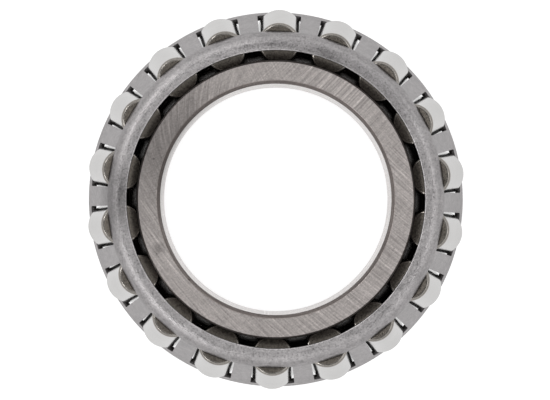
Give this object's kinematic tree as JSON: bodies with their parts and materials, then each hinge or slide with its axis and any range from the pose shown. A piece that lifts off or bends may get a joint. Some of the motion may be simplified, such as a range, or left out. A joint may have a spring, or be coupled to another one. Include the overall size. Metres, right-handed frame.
{
  "type": "tapered roller bearing cone assembly",
  "caption": "Cone assembly of a tapered roller bearing: an inner ring with a conical raceway carries tapered rollers in a pressed steel cage, for radial and one-way axial load.",
  "frame": {"origin": "on the bearing axis, in the plane of the back face (the wide end with the large rib)", "axes": "+Z along the bearing axis from the back face to the front face; +X through the axis of roller_01, within its play"},
  "size_m": [0.0698, 0.0694, 0.0198],
  "materials": {
    "ring_steel": "ground and lapped hardened steel",
    "cage_steel": "satin pressed sheet steel",
    "roller_steel": "polished hardened steel"
  },
  "bodies": {
    "inner_ring": {"inner_ring": "ring_steel"},
    "cage": {"cage": "cage_steel"},
    "roller_01": {"roller_01": "roller_steel"},
    "roller_02": {"roller_02": "roller_steel"},
    "roller_03": {"roller_03": "roller_steel"},
    "roller_04": {"roller_04": "roller_steel"},
    "roller_05": {"roller_05": "roller_steel"},
    "roller_06": {"roller_06": "roller_steel"},
    "roller_07": {"roller_07": "roller_steel"},
    "roller_08": {"roller_08": "roller_steel"},
    "roller_09": {"roller_09": "roller_steel"},
    "roller_10": {"roller_10": "roller_steel"},
    "roller_11": {"roller_11": "roller_steel"},
    "roller_12": {"roller_12": "roller_steel"},
    "roller_13": {"roller_13": "roller_steel"},
    "roller_14": {"roller_14": "roller_steel"},
    "roller_15": {"roller_15": "roller_steel"},
    "roller_16": {"roller_16": "roller_steel"},
    "roller_17": {"roller_17": "roller_steel"},
    "roller_18": {"roller_18": "roller_steel"}
  },
  "joints": [
    {"name": "cage_turn", "type": "hinge", "parent": "inner_ring", "child": "cage", "pos_m": [0, 0, 0.0099], "axis": [0, 0, 1], "continuous": true},
    {"name": "roller_01_spin", "type": "hinge", "parent": "cage", "child": "roller_01", "pos_m": [0.02945, -0.00009, 0.01052], "axis": [-0.2292, 0.0007, 0.9734], "continuous": true},
    {"name": "roller_02_spin", "type": "hinge", "parent": "cage", "child": "roller_02", "pos_m": [0.02771, 0.00999, 0.01052], "axis": [-0.2156, -0.0777, 0.9734], "continuous": true},
    {"name": "roller_03_spin", "type": "hinge", "parent": "cage", "child": "roller_03", "pos_m": [0.02256, 0.01893, 0.01052], "axis": [-0.1756, -0.1473, 0.9734], "continuous": true},
    {"name": "roller_04_spin", "type": "hinge", "parent": "cage", "child": "roller_04", "pos_m": [0.01465, 0.02555, 0.01052], "axis": [-0.114, -0.1989, 0.9734], "continuous": true},
    {"name": "roller_05_spin", "type": "hinge", "parent": "cage", "child": "roller_05", "pos_m": [0.00521, 0.02899, 0.01052], "axis": [-0.0405, -0.2256, 0.9734], "continuous": true},
    {"name": "roller_06_spin", "type": "hinge", "parent": "cage", "child": "roller_06", "pos_m": [-0.00511, 0.029, 0.01052], "axis": [0.0398, -0.2257, 0.9734], "continuous": true},
    {"name": "roller_07_spin", "type": "hinge", "parent": "cage", "child": "roller_07", "pos_m": [-0.01473, 0.02551, 0.01052], "axis": [0.1146, -0.1985, 0.9734], "continuous": true},
    {"name": "roller_08_spin", "type": "hinge", "parent": "cage", "child": "roller_08", "pos_m": [-0.02262, 0.01886, 0.01052], "axis": [0.176, -0.1468, 0.9734], "continuous": true},
    {"name": "roller_09_spin", "type": "hinge", "parent": "cage", "child": "roller_09", "pos_m": [-0.02771, 0.00999, 0.01052], "axis": [0.2156, -0.0777, 0.9734], "continuous": true},
    {"name": "roller_10_spin", "type": "hinge", "parent": "cage", "child": "roller_10", "pos_m": [-0.02945, -0.00009, 0.01052], "axis": [0.2292, 0.0007, 0.9734], "continuous": true},
    {"name": "roller_11_spin", "type": "hinge", "parent": "cage", "child": "roller_11", "pos_m": [-0.02771, -0.00999, 0.01052], "axis": [0.2156, 0.0777, 0.9734], "continuous": true},
    {"name": "roller_12_spin", "type": "hinge", "parent": "cage", "child": "roller_12", "pos_m": [-0.02262, -0.01886, 0.01052], "axis": [0.176, 0.1468, 0.9734], "continuous": true},
    {"name": "roller_13_spin", "type": "hinge", "parent": "cage", "child": "roller_13", "pos_m": [-0.01481, -0.02546, 0.01052], "axis": [0.1152, 0.1981, 0.9734], "continuous": true},
    {"name": "roller_14_spin", "type": "hinge", "parent": "cage", "child": "roller_14", "pos_m": [-0.00521, -0.02899, 0.01052], "axis": [0.0405, 0.2256, 0.9734], "continuous": true},
    {"name": "roller_15_spin", "type": "hinge", "parent": "cage", "child": "roller_15", "pos_m": [0.00521, -0.02899, 0.01052], "axis": [-0.0405, 0.2256, 0.9734], "continuous": true},
    {"name": "roller_16_spin", "type": "hinge", "parent": "cage", "child": "roller_16", "pos_m": [0.01465, -0.02555, 0.01052], "axis": [-0.114, 0.1989, 0.9734], "continuous": true},
    {"name": "roller_17_spin", "type": "hinge", "parent": "cage", "child": "roller_17", "pos_m": [0.0225, -0.019, 0.01052], "axis": [-0.1751, 0.1479, 0.9734], "continuous": true},
    {"name": "roller_18_spin", "type": "hinge", "parent": "cage", "child": "roller_18", "pos_m": [0.02764, -0.01016, 0.01052], "axis": [-0.2151, 0.0791, 0.9734], "continuous": true}
  ],
  "couplings": [
    {"joint": "roller_01_spin", "follows": "cage_turn", "ratio": 6.5284},
    {"joint": "roller_02_spin", "follows": "cage_turn", "ratio": 6.5284},
    {"joint": "roller_03_spin", "follows": "cage_turn", "ratio": 6.5284},
    {"joint": "roller_04_spin", "follows": "cage_turn", "ratio": 6.5284},
    {"joint": "roller_05_spin", "follows": "cage_turn", "ratio": 6.5284},
    {"joint": "roller_06_spin", "follows": "cage_turn", "ratio": 6.5284},
    {"joint": "roller_07_spin", "follows": "cage_turn", "ratio": 6.5284},
    {"joint": "roller_08_spin", "follows": "cage_turn", "ratio": 6.5284},
    {"joint": "roller_09_spin", "follows": "cage_turn", "ratio": 6.5284},
    {"joint": "roller_10_spin", "follows": "cage_turn", "ratio": 6.5284},
    {"joint": "roller_11_spin", "follows": "cage_turn", "ratio": 6.5284},
    {"joint": "roller_12_spin", "follows": "cage_turn", "ratio": 6.5284},
    {"joint": "roller_13_spin", "follows": "cage_turn", "ratio": 6.5284},
    {"joint": "roller_14_spin", "follows": "cage_turn", "ratio": 6.5284},
    {"joint": "roller_15_spin", "follows": "cage_turn", "ratio": 6.5284},
    {"joint": "roller_16_spin", "follows": "cage_turn", "ratio": 6.5284},
    {"joint": "roller_17_spin", "follows": "cage_turn", "ratio": 6.5284},
    {"joint": "roller_18_spin", "follows": "cage_turn", "ratio": 6.5284}
  ]
}
